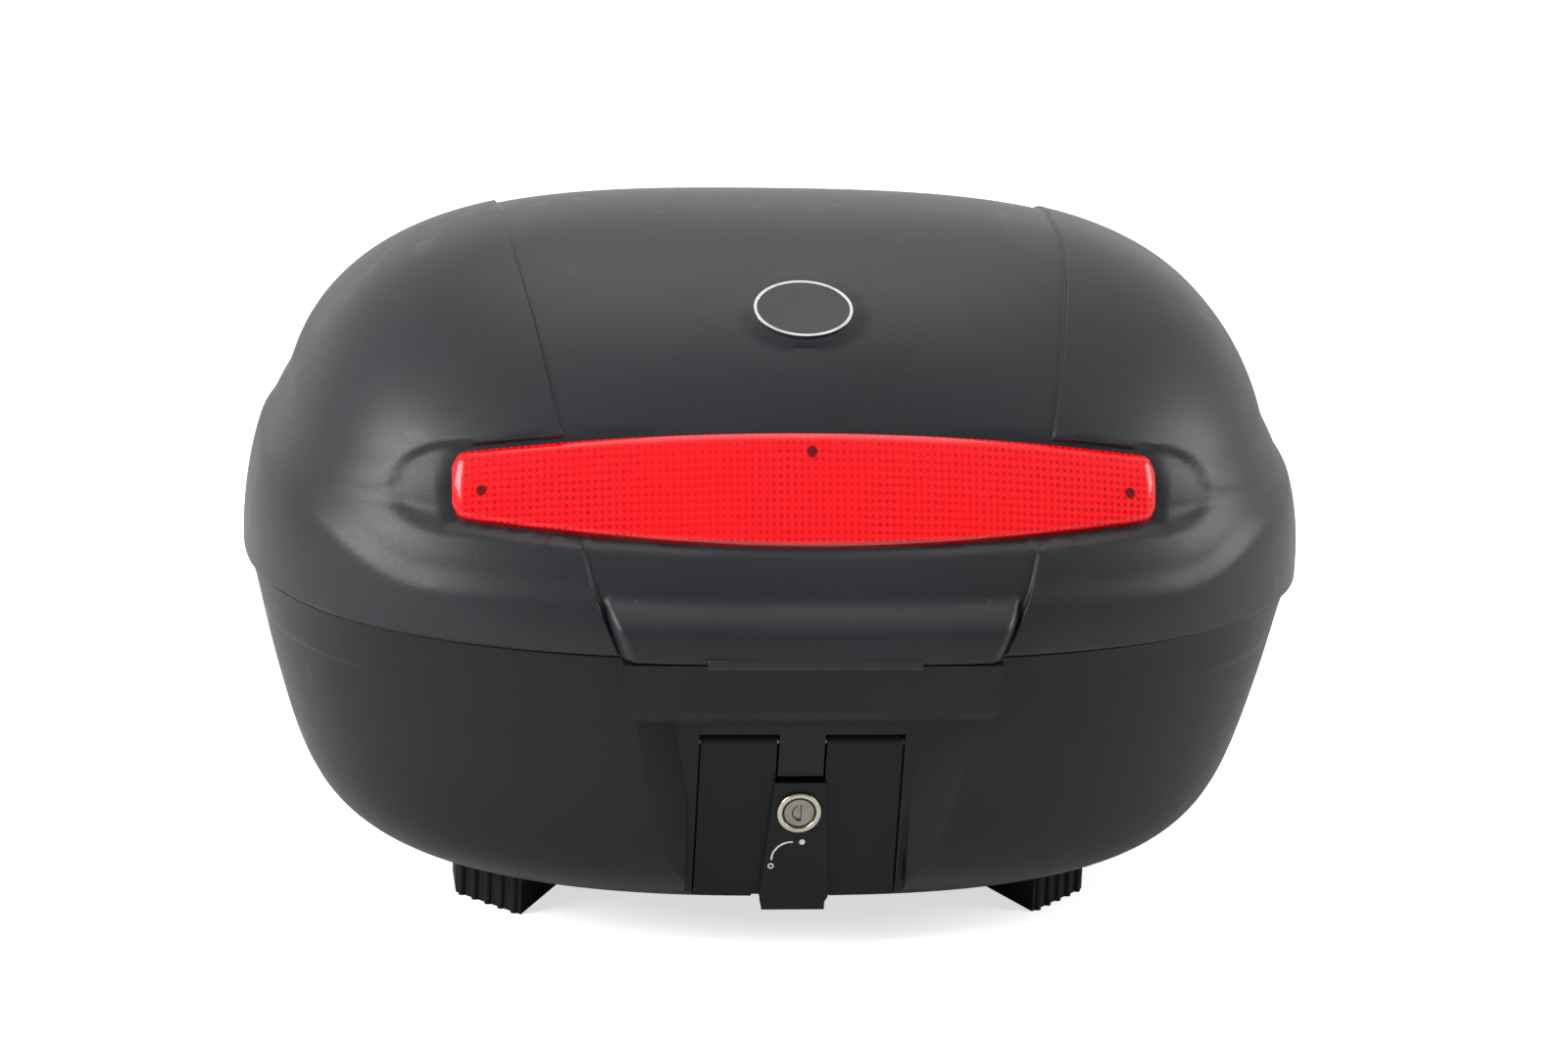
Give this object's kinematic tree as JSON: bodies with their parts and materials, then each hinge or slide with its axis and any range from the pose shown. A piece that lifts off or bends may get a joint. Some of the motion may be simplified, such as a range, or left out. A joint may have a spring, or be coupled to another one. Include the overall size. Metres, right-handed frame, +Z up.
{
  "type": "motorcycle top case",
  "caption": "Hard plastic motorcycle top case with a hinged domed lid, red reflector, locking flap, rubber feet and claws for a rack tube.",
  "frame": {"origin": "middle of the footprint on the floor, under the feet", "axes": "+Z up, -Y the lock side that faces the rear of the motorcycle, +X to the right when seen from the lock side"},
  "size_m": [0.5544, 0.44, 0.3542],
  "materials": {
    "shell_plastic": "fine satin black plastic",
    "lid_plastic": "finely grained charcoal plastic",
    "flap_plastic": "satin black plastic",
    "hinge_plastic": "black plastic",
    "tray_plastic": "dark red backing",
    "seal_rubber": "soft black rubber",
    "red_lens": "glossy red reflector with a fine grid",
    "badge_face": "gloss black",
    "bright_trim": "bright silver",
    "nickel": "polished nickel",
    "steel": "zinc plated",
    "dark_steel": "black oxide",
    "foot_rubber": "matt black rubber",
    "foot_plastic": "black plastic",
    "mat_rubber": "ribbed black rubber"
  },
  "bodies": {
    "case": {"lower_shell": "shell_plastic", "hinge_leaves_lower": "hinge_plastic", "hinge_pins": "steel", "hinge_screws_lower": "dark_steel", "hinge_cover": "flap_plastic", "flap_pin": "steel", "box_cover": "shell_plastic", "box_screws": "dark_steel", "foot_front_left": "foot_rubber", "foot_front_right": "foot_rubber", "foot_back_left": "foot_rubber", "foot_back_right": "foot_rubber", "foot_screws": "dark_steel", "rack_claws": "foot_plastic", "claw_screws": "dark_steel", "floor_mat": "mat_rubber"},
    "lid": {"lid_shell": "lid_plastic", "rim_seal": "seal_rubber", "reflector_lens": "red_lens", "reflector_tray": "tray_plastic", "reflector_screws": "dark_steel", "badge_plate": "badge_face", "badge_rim": "bright_trim", "hinge_leaves_upper": "hinge_plastic", "hinge_screws_upper": "dark_steel", "lid_strike": "steel", "strike_screws": "steel"},
    "flap": {"latch_flap": "flap_plastic", "tongue_hook": "dark_steel", "lock_barrel": "steel", "lock_bezel": "nickel", "lock_nut": "steel"},
    "key": {"lock_rotor": "nickel", "key_shutter": "nickel", "lock_cam": "steel", "cam_screw": "steel"}
  },
  "joints": [
    {"name": "lid_hinge", "type": "hinge", "parent": "case", "child": "lid", "pos_m": [0, 0.2145, 0.1715], "axis": [-1, 0, 0], "range_deg": [0, 80]},
    {"name": "flap_hinge", "type": "hinge", "parent": "case", "child": "flap", "pos_m": [0, -0.177, 0.118], "axis": [-1, 0, 0], "range_deg": [0, 70], "stiffness_Nm_per_rad": 0.06, "springref_deg": -34.38},
    {"name": "key_turn", "type": "hinge", "parent": "flap", "child": "key", "pos_m": [0, -0.18051, 0.08032], "axis": [0, -0.9848, -0.1736], "range_deg": [0, 90]}
  ]
}
